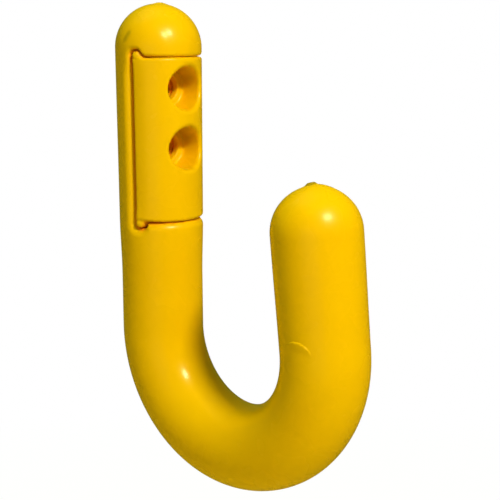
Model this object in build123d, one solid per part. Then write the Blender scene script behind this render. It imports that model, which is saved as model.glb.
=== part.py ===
from build123d import *
import os
from math import asin, cos, degrees, radians, sin, sqrt

# Coat hook: a thick round bar moulded as a J, with a fixing block keyed into the front of its stem.
# Millimetres. The wall is the plane Y = 0, the hook stands out towards -Y and +Z is up.
# The origin is on the wall, midway between the two screw holes.

# J-shaped bar
bar_diameter = 25.0
stem_length = 84.7  # straight run from the bend up to the centre of the stem's dome
bend_radius = 31.6  # centreline of the bend
arm_length = 33.4  # straight run from the bend up to the centre of the arm's dome
arm_lean = 5.6  # degrees by which the arm leans back towards the stem
flat_width = 15.0  # flat along the back of the stem, against the wall
flat_edge_radius = 1.2

# Gate marks on the two tips of the bar
gate_diameter = 3.4
stem_gate_height = 0.3
arm_gate_height = 0.65

# Recess in the front half of the stem
recess_length = 48.5
recess_edge_radius = 1.5
lip_radius = 2.3  # rounded lips of the stem that hold the beads of the block
cap_run = 0.2  # straight of the stem between the upper groove and its dome
seat_pad_inset = 4.0  # raised pad that carries the block, in from the sides and ends of the recess

# Fixing block
block_offset = 1.4  # back of the block ahead of the axis of the stem
block_clearance = 0.5  # gap all round the block, and behind it beside the pad
block_edge_radius = 1.2
bead_radius = 1.65  # beads along the upper and lower back edges of the block
bead_rise = 2.05  # crest of a bead beyond the end face of the block

# Fixing screws, one above the other
screw_spacing = 17.5
screw_drop = 9.6  # upper screw below the top of the recess
screw_hole_diameter = 6.4
head_bore_diameter = 12.2
head_floor_thickness = 2.5  # block left under a screw head
head_bore_edge_radius = 1.0

# Largest share of a curve or a wall that rounding may use up
lip_share = 0.65
bead_share = 0.9
wall_share = 0.9

# Places and limits that follow from the sizes
bar_radius = bar_diameter / 2
lean = radians(arm_lean)
axis_y = -sqrt(bar_radius**2 - (flat_width / 2) ** 2)
recess_high = screw_spacing / 2 + screw_drop
recess_low = recess_high - recess_length
dome_z = recess_high + bead_rise + cap_run
bend_z = dome_z - stem_length
bend_y = axis_y - bend_radius
throat_y = bend_y  # in the open, between the stem and the arm
arm_y = bend_y - bend_radius * cos(lean)
arm_z = bend_z + bend_radius * sin(lean)
seat_y = axis_y - block_offset
recess_y = seat_y + block_clearance
pad_half_width = sqrt(bar_radius**2 - block_offset**2) - seat_pad_inset
pad_length = recess_length - 2 * seat_pad_inset
head_bore_radius = head_bore_diameter / 2
wall_above_bore = screw_drop - block_clearance - block_edge_radius - head_bore_radius
wall_between_bores = screw_spacing / 2 - head_bore_radius
screw_places = (-screw_spacing / 2, screw_spacing / 2)
flank = (90 + degrees(asin(flat_width / bar_diameter))) / 2  # middle of the plain flank, from the back
clear_of_bar = 2 * bar_diameter
along = (0, 0.25, 0.5, 0.75, 1)  # places along an edge
touch = 1e-4


def domed_rod(length, gate_height):
    """Round rod from the origin along +Z, ending in a hemisphere with a gate mark on its crown.

    The surfaces close along the flank, clear of the flat and of the recess.
    """
    gate_radius = gate_diameter / 2
    rim_z = length + sqrt(bar_radius**2 - gate_radius**2)
    tip_z = length + bar_radius + gate_height
    gate_rise = tip_z - rim_z
    crown_radius = (gate_radius**2 + gate_rise**2) / (2 * gate_rise)
    with BuildSketch(Plane.YZ) as half_section:
        with BuildLine():
            Polyline((0, tip_z), (0, 0), (bar_radius, 0), (bar_radius, length))
            RadiusArc((bar_radius, length), (gate_radius, rim_z), -bar_radius)
            RadiusArc((gate_radius, rim_z), (0, tip_z), -crown_radius)
        make_face()
    return Rot(0, 0, -flank) * revolve(half_section.sketch, Axis.Z)


def j_bar():
    """Stem, bend and arm in one, with the bar still round all over."""
    stem = Pos(0, axis_y, bend_z) * domed_rod(stem_length, stem_gate_height)
    to_flank = (sin(radians(flank)), cos(radians(flank)), 0)
    bend_start = Plane(origin=(0, axis_y, bend_z), x_dir=to_flank, z_dir=(0, 0, -1))
    bend_axis = Axis((0, bend_y, bend_z), (-1, 0, 0))
    bend = revolve(bend_start * Circle(bar_radius), bend_axis, 180 + arm_lean)
    arm_base = Plane(origin=(0, arm_y, arm_z), x_dir=(1, 0, 0), z_dir=(0, sin(lean), cos(lean)))
    arm = arm_base * domed_rod(arm_length, arm_gate_height)
    return stem + bend + arm


def keyed_slab(low, high, back_y, bead, lip):
    """Slab across the bar from back_y forwards, with a bead along each end of its back face.

    In side view a bead is an arc tangent to the back, and a lip arc leads from it to the end face.
    """
    middle = (low + high) / 2
    half = (high - low) / 2
    bead_y = back_y - bead
    bead_z = half + bead_rise - bead
    lip_z = half + lip
    lip_y = bead_y - sqrt((bead + lip) ** 2 - (lip_z - bead_z) ** 2)
    turn = Vector(lip_y - bead_y, lip_z - bead_z).normalized()
    join = Vector(bead_y, bead_z) + turn * bead
    lip_middle = Vector(lip_y, lip_z) - (turn + Vector(0, 1)).normalized() * lip
    with BuildSketch(Plane.YZ) as side_view:
        with BuildLine():
            for end in (1, -1):
                back_end = (back_y, middle + end * bead_z)
                crest = (bead_y, middle + end * (bead_z + bead))
                bead_end = (join.X, middle + end * join.Y)
                lip_through = (lip_middle.X, middle + end * lip_middle.Y)
                lip_end = (lip_y, middle + end * half)
                Line((back_y, middle), back_end)
                ThreePointArc(back_end, crest, bead_end)
                ThreePointArc(bead_end, lip_through, lip_end)
                Line(lip_end, (throat_y, middle + end * half))
            Line((throat_y, middle + half), (throat_y, middle - half))
        make_face()
    return extrude(side_view.sketch, clear_of_bar, both=True)


def on_stem(edge):
    """True for an edge that lies on the round surface of the stem, ahead of its back."""
    points = [edge @ share for share in along]
    on_surface = all(abs(abs(Vector(p.X, p.Y - axis_y)) - bar_radius) < touch for p in points)
    on_straight = bend_z + touch < points[2].Z < dome_z - touch
    return on_surface and on_straight and points[2].Y < recess_y + touch


def bore_along_y(diameter, z, start_y):
    """Round bore across the stem at height z, from start_y out past the front of the stem."""
    length = start_y - throat_y
    return Pos(0, start_y - length / 2, z) * Rot(90, 0, 0) * Cylinder(diameter / 2, length)


def at_head_bore(edge):
    """True for an edge that is the mouth of a bore for a screw head."""
    points = [edge @ share for share in along]
    return on_stem(edge) and any(
        all(abs(abs(Vector(p.X, p.Z - z)) - head_bore_radius) < touch for p in points) for z in screw_places
    )


def at_wall(edge):
    """True for an edge that lies on the wall."""
    return all(abs((edge @ share).Y) < touch for share in along)


screw_holes = [bore_along_y(screw_hole_diameter, z, bar_radius) for z in screw_places]

# Hook body: the J bar with the keyed recess and its pad, the flat back and the screw holes
recess = keyed_slab(recess_low, recess_high, recess_y, bead_radius + block_clearance, lip_radius)
pad_middle = Pos(0, (seat_y + recess_y) / 2, (recess_low + recess_high) / 2)
seat_pad = pad_middle * Box(2 * pad_half_width, block_clearance, pad_length)
recess_rounding = min(recess_edge_radius, lip_share * lip_radius)
hook_body = j_bar() - recess
hook_body = fillet(hook_body.edges().filter_by(on_stem), recess_rounding)
hook_body = split(hook_body, bisect_by=Plane.XZ)
hook_body = fillet(hook_body.edges().filter_by(at_wall), flat_edge_radius)
hook_body = hook_body + seat_pad - screw_holes

# Fixing block: the front of the stem that fills the recess, with its beads and the bores for the screws
block_low = recess_low + block_clearance
block_high = recess_high - block_clearance
block_rounding = min(block_edge_radius, bead_share * bead_radius)
bore_rounding = min(head_bore_edge_radius, wall_share * wall_above_bore, wall_share * wall_between_bores)
head_bores = [bore_along_y(head_bore_diameter, z, seat_y - head_floor_thickness) for z in screw_places]
stem_round = Pos(0, axis_y, 0) * Rot(0, 0, 90) * Cylinder(bar_radius, 2 * stem_length)
block_slab = keyed_slab(block_low, block_high, seat_y, bead_radius, lip_radius + block_clearance)
fixing_block = stem_round & block_slab
fixing_block = fillet(fixing_block.edges().filter_by(on_stem), block_rounding)
fixing_block = fixing_block - head_bores - screw_holes
fixing_block = fillet(fixing_block.edges().filter_by(at_head_bore), bore_rounding)

os.makedirs("parts", exist_ok=True)
export_step(hook_body, "parts/hook_body.step")
export_step(fixing_block, "parts/fixing_block.step")
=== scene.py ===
import bpy
import numpy as np
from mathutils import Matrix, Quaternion, Vector


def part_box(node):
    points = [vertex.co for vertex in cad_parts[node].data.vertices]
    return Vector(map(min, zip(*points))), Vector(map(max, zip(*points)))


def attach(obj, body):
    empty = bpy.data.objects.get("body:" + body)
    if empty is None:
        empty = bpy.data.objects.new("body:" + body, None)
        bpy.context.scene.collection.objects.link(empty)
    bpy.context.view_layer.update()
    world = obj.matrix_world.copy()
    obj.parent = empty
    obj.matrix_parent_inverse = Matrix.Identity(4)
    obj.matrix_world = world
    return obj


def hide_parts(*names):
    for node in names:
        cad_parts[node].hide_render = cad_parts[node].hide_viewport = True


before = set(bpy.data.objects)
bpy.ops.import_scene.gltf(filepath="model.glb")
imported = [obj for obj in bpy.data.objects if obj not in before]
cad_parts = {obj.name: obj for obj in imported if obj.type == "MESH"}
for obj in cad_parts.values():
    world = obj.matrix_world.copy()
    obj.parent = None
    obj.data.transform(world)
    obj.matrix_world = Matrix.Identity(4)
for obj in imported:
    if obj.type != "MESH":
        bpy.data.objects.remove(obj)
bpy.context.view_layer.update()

# Hook body
# One thick moulding of through-coloured plastic: a round bar bent to a J and domed at both tips.
# The front of its stem has a keyed recess for the block, and a flat along its back lies on the wall.
body_low, body_high = (1000 * np.array(corner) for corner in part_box("hook_body"))
block_low, block_high = (1000 * np.array(corner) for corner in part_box("fixing_block"))

# Sizes of the hook are in millimetres.
bar_radius = 12.5
flat_width = 15.0
flat_rounding = 1.2
bend_radius = 31.7
arm_lean = np.radians(5.7)
arm_length = 32.8
stem_gate_radius = 2.6
stem_gate_height = 0.3
stem_gate_slope = 2.2  # run of the slope round the mark
stem_gate_off = np.array([0.5, -0.6])  # of the mark's middle from the axis, in x and y
arm_gate_radius = 2.0
arm_gate_height = 0.6
arm_gate_slope = 1.1
arm_gate_off = np.array([-0.4, 0.5])  # of the mark's middle from the axis, in x and across the arm
arm_swelling_radius = 6.0  # low swelling round the arm's mark
arm_swelling_height = 0.35
arm_swelling_off = np.array([0.8, -1.0])
screw_spacing = 17.5
screw_hole_radius = 3.2
screw_hole_rounding = 0.3
gap = 0.45  # at the ends of the block, beside its beads
front_gap = 0.08  # at the ends of the block, on the front of the stem
gap_taper = 9.0  # run over which the gap narrows
seat_play = 0.3  # how much wider the gap is behind the block, along its sides
seat_drop = 0.25  # how far the block has settled down in its recess
bead_radius = 1.6  # of the line midway in the gap, as are the three values below
bead_rise = 2.05
lip_radius = 1.5
lower_lip_radius = 0.7
mouth_rounding = 2.6
upper_mouth_rounding = 1.2
mouth_taper = 6.0  # run over which the mouth's rounding tightens to its upper end
pad_inset = 4.0  # of the hidden pad that carries the block, from the edges of the recess

# The bar swells a little to its tips and has sunk under the block, where the moulding is thickest.
# These are its radii at the stem's dome, the recess's lower end, the sink, the bend's start, middle
# and end, and the arm's dome.
radii = np.array([12.78, 12.66, 12.27, 12.32, 12.58, 12.53, 12.75])
sink_drop = 17.0  # from the recess's lower end down to the sink

axis_y = -np.sqrt(bar_radius**2 - (flat_width / 2) ** 2)
dome_z = body_high[2] - stem_gate_height - radii[0]
bend_z = body_low[2] + bend_radius + radii[4]
bend_y = axis_y - bend_radius
arm_y = bend_y - bend_radius * np.cos(arm_lean)
arm_z = bend_z + bend_radius * np.sin(arm_lean)
arm_up_y = np.sin(arm_lean)
arm_up_z = np.cos(arm_lean)
sweep = np.pi + arm_lean
stem_length = dome_z - bend_z

seat_y = block_high[1]
gap_y = seat_y + gap / 2
gap_middle_z = (block_low[2] + block_high[2]) / 2 - seat_drop
gap_half = (block_high[2] - block_low[2]) / 2 + gap / 2 - bead_rise
bead_y = gap_y - bead_radius
gap_front_y = axis_y - bar_radius
bead_w = gap_half + bead_rise - bead_radius
pad_half_width = np.sqrt(bar_radius**2 - (seat_y - axis_y) ** 2) - pad_inset
pad_half_length = gap_half + gap / 2 - pad_inset

ledge_run = dome_z - (gap_middle_z - gap_half)
sink_run = ledge_run + sink_drop
bend_run = stem_length + bend_radius * sweep
radius_runs = np.array([0, ledge_run, sink_run, stem_length, (stem_length + bend_run) / 2, bend_run,
                        bend_run + arm_length])

# Raised witness of an ejector pin on the side of the arm, proud at its upper edge and flush below.
witness_radius = 5.0
witness_y = -73.2
witness_z = -60.45
witness_turn = np.radians(10)  # its proudest point, from straight up towards the front
witness_rise = 0.28
witness_edge = 0.35
witness_slant_start = 0.33  # above its middle, as a share of its radius, as is the run below
witness_slant_run = 0.57

# Shallow hollow on the front of the stem's dome, where the moulding has shrunk. It breaks up the gloss.
hollow_middle = np.array([-6.83, -19.87, 24.4])
hollow_across = np.array([0.841, -0.353, 0.41])
hollow_depth = 0.085
hollow_half_width = 0.9
hollow_half_length = 2.5

# Traces of use, and painted shade: a dark rubbed streak on the stem's dome, painted shade on the arm's
# torn gate and high on the walls of the bores, dust and painted shade in the gap, and the polish that loops
# give to the bend.
streak_start = np.array([-12.4, -9.2, 22.8])
streak_end = np.array([-11.9, -10.3, 24.6])
streak_half_width = 1.5
streak_share = 0.48
torn_shade_share = 0.7  # of painted shade on the arm's torn gate
torn_edge = 0.4  # from the gate's foot, over which that painted shade fades in
bore_shade_share = 0.33  # of painted shade on the upper side of a bore's wall
bore_shade_run = 5.0  # of height about the screw's axis, over which that painted shade fades in
bore_wall_start = 5.4  # from the axis of the screw: the wall of a bore, clear of its floor
bore_wall_fade = 0.25
bore_wall_end = 7.0
bore_wall_depth = 4.0  # under the skin, where the painted shade on the wall is full
dust_and_shade_depth = 1.0  # under the skin, where the gap's dust and painted shade are full
dust_and_shade_reach = 0.55  # from the middle of the gap, fading out over as much again
dust_and_shade_run = 10.0  # from the front of the stem back, where hands wipe less of it away
rub_fade = 10.0


def ease(t):
    """Smooth step: 0 below t = 0, 1 above t = 1, and 3t^2 - 2t^3 between them."""
    t = np.clip(t, 0, 1)
    return t * t * (3 - 2 * t)


def round_common(a, b, r):
    """Signed distance of what two shapes share, with the edge between them rounded to radius r.

    It is the larger of their distances or, where both are above -r, the length of (a + r, b + r) less r.
    """
    return np.minimum(-r, np.maximum(a, b)) + np.hypot(np.maximum(a + r, 0), np.maximum(b + r, 0))


def round_join(a, b, r):
    """Signed distance of two shapes joined, with the corner between them filled to radius r.

    It is the smaller of their distances or, where both are below r, r less the length of (r - a, r - b).
    """
    return np.maximum(r, np.minimum(a, b)) - np.hypot(np.maximum(r - a, 0), np.maximum(r - b, 0))


def arm_place(y, z):
    """How far a point in side view is along the arm from the bend's end, and how far across its axis."""
    along = (y - arm_y) * arm_up_y + (z - arm_z) * arm_up_z
    across = (y - arm_y) * arm_up_z - (z - arm_z) * arm_up_y
    return along, across


def j_line(y, z):
    """Distance in side view to the centreline of the J, and how far along it the nearest point is.

    The centreline is the stem, an arc about (bend_y, bend_z) and the leaning arm. The run is counted
    from the stem's dome.
    """
    stem_z = np.clip(z, bend_z, dome_z)
    stem = np.hypot(y - axis_y, z - stem_z)
    turn = np.mod(np.arctan2(bend_z - z, y - bend_y), 2 * np.pi)
    turn = np.where(turn > sweep, np.where(turn > sweep / 2 + np.pi, 0, sweep), turn)
    bend = np.hypot(y - bend_y - bend_radius * np.cos(turn), z - bend_z + bend_radius * np.sin(turn))
    along, _ = arm_place(y, z)
    rise = np.clip(along, 0, arm_length)
    arm = np.hypot(y - arm_y - rise * arm_up_y, z - arm_z - rise * arm_up_z)
    run = np.where(arm < bend, bend_run + rise, stem_length + bend_radius * turn)
    run = np.where(stem <= np.minimum(bend, arm), dome_z - stem_z, run)
    return np.minimum(stem, np.minimum(bend, arm)), run


def bar(x, y, z):
    """Signed distance of the bar: distance to its centreline less its radius there.

    The radius is eased from each named place to the next.
    """
    off, run = j_line(y, z)
    place = np.interp(run, radius_runs, np.arange(len(radii)))
    start = np.minimum(place.astype(int), len(radii) - 2)
    radius = radii[start] + (radii[start + 1] - radii[start]) * ease(place - start)
    return np.hypot(x, off) - radius


def gap_width(y):
    """Width of the gap round the block: front_gap at the front of the stem, eased to gap further back."""
    return front_gap + (gap - front_gap) * ease((y - gap_front_y) / gap_taper)


def gap_outline(y, z, play):
    """Signed distance, in side view, of the line midway in the gap round the block.

    It is a slab open to the front, joined to a bead at each end of its back, and both reach back by the
    play. A lip of the body fills the corner between them, on the front of the bead only.
    """
    w = np.abs(z - gap_middle_z)
    slab = np.maximum(w - gap_half, y - gap_y - play)
    behind = y - bead_y - np.clip(y - bead_y, 0, play)
    bead = np.hypot(behind, w - bead_w) - bead_radius
    lip = np.where(z > gap_middle_z, lip_radius, lower_lip_radius)
    return round_join(slab, bead, lip * np.clip((bead_y - y) / bead_radius, 0, 1))


def gate_marks(x, y, z):
    """Height of the two gate marks: a swelling on the stem's crown, and a nub on a swelling on the arm's.

    Each is its height times a smooth step of how far inside its edge the point is.
    """
    stem_off = np.hypot(x - stem_gate_off[0], y - axis_y - stem_gate_off[1])
    arm_along, arm_across = arm_place(y, z)
    arm_off = np.hypot(x - arm_gate_off[0], arm_across - arm_gate_off[1])
    swelling_off = np.hypot(x - arm_swelling_off[0], arm_across - arm_swelling_off[1])
    stem_mark = np.where(z > dome_z, ease((stem_gate_radius - stem_off) / stem_gate_slope), 0)
    arm_mark = arm_gate_height * ease((arm_gate_radius - arm_off) / arm_gate_slope)
    arm_mark = arm_mark + arm_swelling_height * ease(1 - swelling_off / arm_swelling_radius)
    return stem_gate_height * stem_mark + np.where(arm_along > arm_length, arm_mark, 0)


def witness_mark(x, y, z):
    """Height of the ejector's witness: a disc that slants from its proud upper edge down to nothing.

    The slant starts a third of the radius above the middle, so the step round the disc fades to each side.
    """
    off_y = y - witness_y
    off_z = z - witness_z
    disc = ease((witness_radius - np.hypot(off_y, off_z)) / witness_edge)
    up = (off_z * np.cos(witness_turn) - off_y * np.sin(witness_turn)) / witness_radius
    slant = ease((up - witness_slant_start) / witness_slant_run)
    return np.where(x < 0, witness_rise * disc * slant, 0)


def hollow(x, y, z):
    """Depth of the hollow: a bell curve across it, fading as a wider bell curve with the distance."""
    off = [x - hollow_middle[0], y - hollow_middle[1], z - hollow_middle[2]]
    across = sum(part * way for part, way in zip(off, hollow_across)) / hollow_half_width
    away = sum(part**2 for part in off) / hollow_half_length**2
    return hollow_depth * np.exp(-across**2 / 2 - away / 2)


def screw_hole(x, z, radius):
    """Signed distance of the nearer of the two screws' holes: the distance from its axis less a radius."""
    return np.hypot(x, np.abs(z) - screw_spacing / 2) - radius


def hook_body(x, y, z):
    """Signed distance of the body: bar, less the recess with its rounded mouth, the flat and the holes.

    A hidden pad on the floor of the recess carries the block.
    """
    bar_with_marks = bar(x, y, z) - gate_marks(x, y, z) - witness_mark(x, y, z) + hollow(x, y, z)
    recess = np.maximum(gap_outline(y, z, seat_play) - gap_width(y) / 2, bend_y - y)
    below_top = ease((gap_middle_z + gap_half - z) / mouth_taper)
    mouth = upper_mouth_rounding + (mouth_rounding - upper_mouth_rounding) * below_top
    shape = round_common(bar_with_marks, -recess, mouth)
    pad_sides = np.maximum(np.abs(x) - pad_half_width, np.abs(z - gap_middle_z) - pad_half_length)
    pad = np.maximum(pad_sides, np.maximum(seat_y - y, y - seat_y - seat_play - 2 * gap))
    shape = np.minimum(shape, pad)
    shape = round_common(shape, y, flat_rounding)
    return round_common(shape, -screw_hole(x, z, screw_hole_radius), screw_hole_rounding)


def grid_lines(*stretches):
    """Places of grid planes: each stretch is (start, step), up to the next start. The last is the end."""
    lines = []
    for (start, step), (end, _) in zip(stretches, stretches[1:]):
        count = max(int(np.ceil((end - start) / step)), 1)
        lines.append(start + (end - start) * np.arange(count) / count)
    return np.concatenate(lines + [[stretches[-1][0]]])


def surface_of(field, xs, ys, zs):
    """Points and four-sided faces of the surface where a signed distance is zero, and its normals.

    Each grid cell that the surface crosses gets one point, the mean of the crossings on its edges,
    which then slides down the gradient onto the surface. Each grid edge that it crosses gets one
    face, from the four cells round that edge, facing out.
    """
    values = field(xs[:, None, None], ys[None, :, None], zs[None, None, :])
    inside = values < 0
    cells = tuple(n - 1 for n in inside.shape)
    corners = np.zeros(cells, np.int8)
    for i, j, k in np.ndindex(2, 2, 2):
        corners += inside[i:i + cells[0], j:j + cells[1], k:k + cells[2]]
    crossed = (corners > 0) & (corners < 8)
    number = np.full(cells, -1, np.int32)
    number[crossed] = np.arange(crossed.sum())
    cell = np.stack(np.nonzero(crossed), 1)

    total = np.zeros(cell.shape)
    count = np.zeros(len(cell))
    for axis in range(3):
        for side in np.ndindex(2, 2):
            near = np.insert(side, axis, 0)
            far = np.insert(side, axis, 1)
            a = values[tuple((cell + near).T)]
            b = values[tuple((cell + far).T)]
            hit = (a < 0) != (b < 0)
            share = np.where(hit, a / np.where(hit, a - b, 1), 0)
            total += hit[:, None] * (near + (far - near) * share[:, None])
            count += hit
    local = total / count[:, None]
    points = np.stack([np.interp(cell[:, n] + local[:, n], np.arange(len(line)), line)
                       for n, line in enumerate((xs, ys, zs))], 1)

    faces = []
    for axis in range(3):
        b, c = (axis + 1) % 3, (axis + 2) % 3
        turned = inside.transpose(axis, b, c)
        numbered = number.transpose(axis, b, c)
        low, high = turned[:-1, 1:-1, 1:-1], turned[1:, 1:-1, 1:-1]
        i, j, k = np.nonzero(low != high)
        ring = np.stack([numbered[i, j, k], numbered[i, j + 1, k],
                         numbered[i, j + 1, k + 1], numbered[i, j, k + 1]], 1)
        faces.append(np.where(low[i, j, k][:, None], ring, ring[:, ::-1]))

    probe = 0.01
    slides = 6
    longest_slide = 0.3
    least_slope = 0.05  # squared, so that no point flies off where the field is nearly flat
    for _ in range(slides):
        off = field(*points.T)
        slope = np.stack([field(*(points + shift).T) - field(*(points - shift).T)
                          for shift in probe * np.eye(3)], 1) / (2 * probe)
        slide = off / np.maximum((slope**2).sum(1), least_slope)
        points = points - np.clip(slide, -longest_slide, longest_slide)[:, None] * slope
    normals = slope / np.linalg.norm(slope, axis=1)[:, None]
    return points, np.concatenate(faces), normals


def on_bore_wall(x, y, z):
    """Share to which a point is on the wall of a screw bore, growing with the depth under the skin."""
    off_axis = screw_hole(x, z, 0)
    on_wall = ease((off_axis - bore_wall_start) / bore_wall_fade) * (off_axis < bore_wall_end)
    return on_wall * ease(-bar(x, y, z) / bore_wall_depth)


def gap_dust_and_shade(x, y, z):
    """Share of the dust and painted shade in the gap, full near its middle line.

    It grows with the depth under the skin of the bar, and fades to the front of the stem.
    """
    # Painted shade, with dust, in the gap between the two pieces.
    near = ease(2 - np.abs(gap_outline(y, z, 0)) / dust_and_shade_reach)
    return near * ease(-bar(x, y, z) / dust_and_shade_depth) * ease((y - gap_front_y) / dust_and_shade_run)


def dirt_and_shade(x, y, z):
    """Share of dirt and painted shade: the fullest of a dirty rubbed streak, painted shade on the arm's
    torn gate and painted shade on the bores' walls.

    The streak fades with the distance from a line on the stem's dome. On a bore's wall the painted shade is
    half full at the height of the screw's axis, and grows above it.
    """
    off = [x - streak_start[0], y - streak_start[1], z - streak_start[2]]
    line = streak_end - streak_start
    along = np.clip(sum(part * way for part, way in zip(off, line)) / (line @ line), 0, 1)
    from_line = np.sqrt(sum((part - along * way) ** 2 for part, way in zip(off, line)))
    streak = streak_share * ease((streak_half_width - from_line) / streak_half_width)
    # Painted shade on the arm's torn gate nub.
    _, arm_across = arm_place(y, z)
    arm_off = np.hypot(x - arm_gate_off[0], arm_across - arm_gate_off[1])
    on_gate = (z > arm_z + arm_length) & (y < bend_y)
    torn = np.where(on_gate, torn_shade_share * ease((arm_gate_radius - arm_off) / torn_edge), 0)
    # Painted shade high on the bores' walls, where their rims shade them.
    above = z - np.sign(z) * screw_spacing / 2
    bore_shade = bore_shade_share * on_bore_wall(x, y, z) * ease(0.5 + above / bore_shade_run)
    return np.maximum(np.maximum(streak, bore_shade), torn)


def rub(x, y, z):
    """Share of polish from loops and straps: full on the inner side of the bend, fading to its outside."""
    from_middle = np.hypot(y - bend_y, z - bend_z)
    return ease((bend_radius - from_middle) / rub_fade) * ease((bend_z + rub_fade - z) / rub_fade)


def mesh_object(name, points, faces, normals):
    """Smooth mesh object at the origin, from points in millimetres, quads and the surface's normals.

    It carries its dust and painted shade, its dirt and painted shade, and its rub at each point as
    attributes.
    """
    mesh = bpy.data.meshes.new(name)
    mesh.from_pydata(points / 1000, [], faces)
    mesh.shade_smooth()
    mesh.normals_split_custom_set_from_vertices(normals)
    for trace in (gap_dust_and_shade, dirt_and_shade, rub):
        values = mesh.attributes.new(trace.__name__, "FLOAT", "POINT")
        values.data.foreach_set("value", np.ascontiguousarray(trace(*points.T), np.float32))
    piece = bpy.data.objects.new(name, mesh)
    bpy.context.scene.collection.objects.link(piece)
    return piece


# The grid's planes lie closer at the beads, the stem's dome and the witness. None lies among the radii of
# the bar's sides, because a plane that only just touches the surface gives crooked faces.
margin = 0.8  # from the piece to the ends of its grid
grid_half_width = 13.5
outside_bar = 12.9
inside_bar = 12.2
stem_front_y = -24.0
bead_front_y = -17.0
bead_back_y = -9.5
lower_bead_z = (-35.0, -27.0)
upper_bead_z = (15.5, 22.5)
witness_margin = 0.5
witness_reach = witness_radius + witness_margin
coarse_step = 0.8
stem_step = 0.6
across_step = 0.48
bead_step = 0.38
witness_step = 0.3
xs = grid_lines((-grid_half_width, coarse_step), (-outside_bar, coarse_step), (-inside_bar, across_step),
                (inside_bar, coarse_step), (outside_bar, coarse_step), (grid_half_width, 0))
ys = grid_lines((body_low[1] - margin, coarse_step), (witness_y - witness_reach, witness_step),
                (witness_y + witness_reach, coarse_step), (stem_front_y, stem_step),
                (bead_front_y, bead_step), (bead_back_y, stem_step), (margin, 0))
zs = grid_lines((body_low[2] - margin, coarse_step), (witness_z - witness_margin, witness_step),
                (witness_z + witness_reach, coarse_step), (lower_bead_z[0], bead_step),
                (lower_bead_z[1], coarse_step), (upper_bead_z[0], bead_step),
                (upper_bead_z[1], stem_step), (body_high[2] + margin, 0))
body = mesh_object("hook_moulding", *surface_of(hook_body, xs, ys, zs))


def linear(code):
    """Linear colour of an sRGB hex code, with alpha 1: a straight line near black, then a power of 2.4."""
    srgb = np.array([int(code[i:i + 2], 16) for i in (1, 3, 5)]) / 255
    return (*np.where(srgb <= 0.04045, srgb / 12.92, ((srgb + 0.055) / 1.055) ** 2.4), 1)


def add(tree, kind, links=None, **settings):
    """Adds a node to a tree. Settings go on the node, and links are values or sockets for its inputs."""
    node = tree.nodes.new(kind)
    for name, value in settings.items():
        setattr(node, name, value)
    for name, value in (links or {}).items():
        if isinstance(value, bpy.types.NodeSocket):
            tree.links.new(value, node.inputs[name])
        else:
            node.inputs[name].default_value = value
    return node


# Nylon, coloured through and moulded in a polished tool. It looks deep yellow with a soft, clear gloss,
# a faint cloudiness of the pigment, slight waves where the thick bar has shrunk unevenly and a fine
# orange peel. Dust and painted shade darken the gap, painted shade darkens the upper walls of the bores
# and the arm's torn gate, hands dull it, and loops polish the bend.
nylon_ior = 1.53
nylon_specular = 0.3
gloss_tint = "#FFF9BC"  # so deep a yellow is past the screen's range, so the gloss keeps some yellow too
nylon_yellow = "#FBC200"
nylon_cloud = "#F5B900"
# Dark olive: dirt on the rubbed streak, and painted shade on the torn gate and the bores' upper walls.
dirt_and_painted_shade = "#7E6A06"
# Orange: dust and the painted reddish shade in the gap between the pieces.
dust_and_painted_shade = "#E87800"
cloud_size = 14.0
dull_size = 6.0
patch_size = 3.0  # of thicker and thinner dust and painted shade
wave_size = 9.0
wave_height = 0.025
peel_size = 1.3  # the real peel is about 0.5 mm, too fine to show here
peel_height = 0.002
noise_detail = 1.0
noise_low, noise_high = 0.3, 0.7  # between which nearly all of the noise lies
least_dust_and_shade, most_dust_and_shade = 0.3, 0.9  # shares of dust and painted shade in its thinnest and thickest patches
least_roughness, most_roughness = 0.24, 0.3
dust_and_shade_roughness = 1.2  # added where the gap's dust and painted shade are full, as the two values below are for dirt and painted shade, and for rubbing
dirt_and_shade_roughness = 0.2
rub_roughness = -0.06

plastic = bpy.data.materials.new("moulded_nylon")
plastic.use_nodes = True
tree = plastic.node_tree
shader = tree.nodes["Principled BSDF"]
shader.inputs["IOR"].default_value = nylon_ior
shader.inputs["Specular IOR Level"].default_value = nylon_specular
shader.inputs["Specular Tint"].default_value = linear(gloss_tint)
place = add(tree, "ShaderNodeTexCoord").outputs["Object"]
cloud, dull, patch, wave, peel = (
    add(tree, "ShaderNodeTexNoise",
        {"Vector": place, "Scale": 1000 / size, "Detail": noise_detail}).outputs["Fac"]
    for size in (cloud_size, dull_size, patch_size, wave_size, peel_size))
dusty_and_shaded, dirty_and_shaded, rubbed = (add(tree, "ShaderNodeAttribute", attribute_name=trace).outputs["Fac"]
                        for trace in ("gap_dust_and_shade", "dirt_and_shade", "rub"))

patchy = add(tree, "ShaderNodeMapRange",
             {"Value": patch, "To Min": least_dust_and_shade, "To Max": most_dust_and_shade}).outputs["Result"]
dust_and_shade_share = add(tree, "ShaderNodeMath", {0: dusty_and_shaded, 1: patchy}, operation="MULTIPLY").outputs[0]
colour = add(tree, "ShaderNodeMix", {0: cloud, 6: linear(nylon_yellow), 7: linear(nylon_cloud)},
             data_type="RGBA").outputs[2]
# The gap's dust and painted shade, then the dirt and painted shade, are mixed into the colour.
for share, stain in ((dust_and_shade_share, dust_and_painted_shade), (dirty_and_shaded, dirt_and_painted_shade)):
    colour = add(tree, "ShaderNodeMix", {0: share, 6: colour, 7: linear(stain)},
                 data_type="RGBA").outputs[2]
tree.links.new(colour, shader.inputs["Base Color"])

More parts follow.
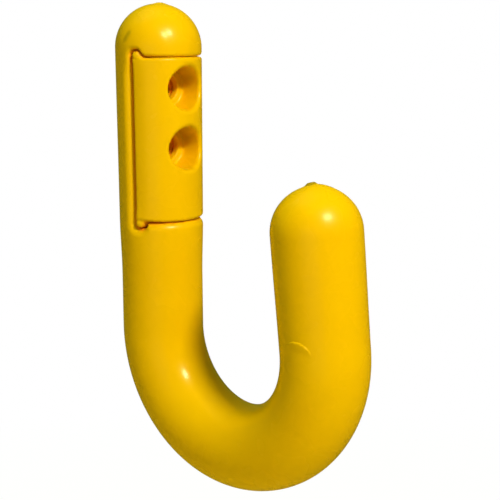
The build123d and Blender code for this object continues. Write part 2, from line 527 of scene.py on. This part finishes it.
roughness = add(tree, "ShaderNodeMapRange",
                {"Value": dull, "From Min": noise_low, "From Max": noise_high,
                 "To Min": least_roughness, "To Max": most_roughness}).outputs["Result"]
for share, change in ((dust_and_shade_share, dust_and_shade_roughness), (dirty_and_shaded, dirt_and_shade_roughness), (rubbed, rub_roughness)):
    roughness = add(tree, "ShaderNodeMath", {0: share, 1: change, 2: roughness},
                    operation="MULTIPLY_ADD").outputs[0]
tree.links.new(roughness, shader.inputs["Roughness"])

waves = add(tree, "ShaderNodeBump", {"Height": wave, "Distance": wave_height / 1000}).outputs["Normal"]
relief = add(tree, "ShaderNodeBump",
             {"Height": peel, "Distance": peel_height / 1000, "Normal": waves}).outputs["Normal"]
tree.links.new(relief, shader.inputs["Normal"])
body.data.materials.append(plastic)
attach(body, "root")
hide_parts("hook_body")

# Fixing block
# A second moulding of the same plastic that fills the recess, flush with the stem. The wall screws
# go in through its two flat-floored bores, and beads along its ends lock it under the body's lips.
side_rounding = 1.4
end_rounding = 1.0
rounding_taper = 4.0  # run from the back over which the rounding of the sides tightens to that of the ends
flank_sink = 0.25  # how far the block's flanks have shrunk in along its back, between its beads
flank_run = 5.0  # from the back and from the beads, over which that sinking fades
bore_radius = 5.9  # at its floor
bore_draft = 0.05  # how much it widens per millimetre to its mouth
bore_floor_thickness = 2.5
bore_floor_y = block_high[1] - bore_floor_thickness
bore_corner_rounding = 0.7
bore_mouth_rounding = 1.4
block_hole_radius = 3.8
hole_rim_rounding = 0.5
block_step = 0.32


def fixing_block(x, y, z):
    """Signed distance of the block: the bar inside the gap's outline, less bores and screw holes.

    Towards the back its flanks sink in between the beads, and its edges are rounder.
    """
    rounding = end_rounding + (side_rounding - end_rounding) * ease(1 - (seat_y - y) / rounding_taper)
    between_beads = ease((gap_half - np.abs(z - gap_middle_z)) / flank_run)
    sunk = bar(x, y, z) + flank_sink * between_beads * ease(1 - (seat_y - y) / flank_run)
    shape = round_common(sunk, gap_outline(y, z, 0) + gap_width(y) / 2, rounding)
    bore_wall = screw_hole(x, z, bore_radius + bore_draft * (bore_floor_y - y))
    bore = round_common(bore_wall, y - bore_floor_y, bore_corner_rounding)
    shape = round_common(shape, -bore, bore_mouth_rounding)
    return round_common(shape, -screw_hole(x, z, block_hole_radius), hole_rim_rounding)


xs = grid_lines((-grid_half_width, block_step), (grid_half_width, 0))
ys = grid_lines((block_low[1] - margin, block_step), (block_high[1] + margin, 0))
zs = grid_lines((block_low[2] - margin, block_step), (block_high[2] + margin, 0))
block = mesh_object("block_moulding", *surface_of(fixing_block, xs, ys, zs))
block.data.materials.append(plastic)
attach(block, "root")
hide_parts("fixing_block")

# Floor
# A wide, plain sheet of white paper well below the hook, which is shown as it hangs on a wall. It isn't
# mirrored in the plastic, where its white would show as a pale rim along the underside.
# Sizes of the floor, the lamps and the camera's place are in metres.
floor_drop = 0.15
floor_size = 6.0
floor_bounce = "#FFF338"
shadow_reach = 0.5  # how far from the middle the hook's shadow shows, fading out to plain white
shadow_share = 0.3  # share of the light on the paper that shows there, with a glow that makes up the rest
shadow_glow = 0.85
mirrored_white = 0.01  # how white the ground is in reflections: in full it would wash out so deep a yellow
middle = Vector((0, -0.046, -0.037))  # of the hook
floor_z = body_low[2] / 1000 - floor_drop
half_floor = floor_size / 2
floor_mesh = bpy.data.meshes.new("floor")
floor_mesh.from_pydata([(-half_floor, -half_floor, floor_z), (half_floor, -half_floor, floor_z),
                        (half_floor, half_floor, floor_z), (-half_floor, half_floor, floor_z)],
                       [], [(0, 1, 2, 3)])
floor = bpy.data.objects.new("floor", floor_mesh)
bpy.context.scene.collection.objects.link(floor)


def seen(tree):
    """Socket: 1 for rays from the camera, mirrored_white in a reflection or a clear body, 0 for others."""
    path = add(tree, "ShaderNodeLightPath").outputs
    mirrored = add(tree, "ShaderNodeMath", {0: path["Is Glossy Ray"], 1: path["Is Transmission Ray"]},
                   operation="MAXIMUM").outputs[0]
    dimmed = add(tree, "ShaderNodeMath", {0: mirrored, 1: mirrored_white}, operation="MULTIPLY").outputs[0]
    return add(tree, "ShaderNodeMath", {0: path["Is Camera Ray"], 1: dimmed},
               operation="MAXIMUM").outputs[0]


paper = bpy.data.materials.new("white_paper")
paper.use_nodes = True
tree = paper.node_tree
tree.nodes.remove(tree.nodes["Principled BSDF"])
lit = add(tree, "ShaderNodeBsdfDiffuse", {"Color": linear(floor_bounce)}).outputs[0]
shade = add(tree, "ShaderNodeBsdfDiffuse",
            {"Color": (shadow_share, shadow_share, shadow_share, 1)}).outputs[0]
glow = add(tree, "ShaderNodeEmission", {"Strength": shadow_glow}).outputs[0]
near = add(tree, "ShaderNodeAddShader", {0: shade, 1: glow}).outputs[0]
far = add(tree, "ShaderNodeEmission", {"Strength": 1.0}).outputs[0]
spread = add(tree, "ShaderNodeMapping", {"Vector": add(tree, "ShaderNodeTexCoord").outputs["Object"],
                                         "Location": Vector((0, -middle.y, -floor_z)) / shadow_reach,
                                         "Scale": Vector((1, 1, 1)) / shadow_reach}).outputs[0]
closeness = add(tree, "ShaderNodeTexGradient", {"Vector": spread}, gradient_type="SPHERICAL").outputs["Fac"]
shown = add(tree, "ShaderNodeMixShader", {0: closeness, 1: far, 2: near}).outputs[0]
whole = add(tree, "ShaderNodeMixShader", {0: seen(tree), 1: lit, 2: shown}).outputs[0]
tree.links.new(whole, tree.nodes["Material Output"].inputs["Surface"])
floor_mesh.materials.append(paper)
floor.visible_glossy = False

# Light and camera
# A small lamp in front, high and to one side, gives the shade, and a larger face in the same place shows
# only in the gloss. Two wide, soft, tinted lamps are over the top and at the side, and the room adds a
# dim fill. The camera is where the photograph's was.
room_fill = "#5D6719"
key_place = (-0.11, -0.44, 0.35)
lens_length = 80.11  # in millimetres
eye = Vector((-0.23301, -0.25182, 0.02606))
aim = Vector((0, -0.04595, -0.0361))
eye_roll = np.radians(-0.15)

for name, lamp_place, width, height, power, tint in (
        ("key", key_place, 0.08, 0.06, 2.9, (1, 1, 1)),
        ("key_face", key_place, 0.13, 0.09, 2.4, (1, 1, 1)),
        ("top", (0, 0.25, 0.72), 0.6, 0.6, 2.9, (0.65, 1, 0.5)),
        ("side", (-0.75, -0.32, -0.04), 0.6, 0.6, 0.85, (1, 0.85, 0.6))):
    lamp = bpy.data.lights.new(name, "AREA")
    lamp.shape = "RECTANGLE"
    lamp.size = width
    lamp.size_y = height
    lamp.energy = power
    lamp.color = tint
    light = bpy.data.objects.new(name, lamp)
    light.location = lamp_place
    light.visible_glossy = name == "key_face"
    light.visible_diffuse = name != "key_face"
    light.rotation_euler = (middle - light.location).to_track_quat("-Z", "Y").to_euler()
    bpy.context.scene.collection.objects.link(light)

world = bpy.data.worlds.new("white_room")
bpy.context.scene.world = world
world.use_nodes = True
tree = world.node_tree
room = add(tree, "ShaderNodeMix", {0: seen(tree), 6: linear(room_fill), 7: (1, 1, 1, 1)},
           data_type="RGBA").outputs[2]
tree.links.new(room, tree.nodes["Background"].inputs["Color"])

lens = bpy.data.cameras.new("camera")
lens.lens = lens_length
camera = bpy.data.objects.new("camera", lens)
camera.location = eye
look = (aim - eye).to_track_quat("-Z", "Y")
camera.rotation_euler = (look @ Quaternion((0, 0, 1), eye_roll)).to_euler()
bpy.context.scene.collection.objects.link(camera)
bpy.context.scene.camera = camera
bpy.context.scene.view_settings.view_transform = "Standard"
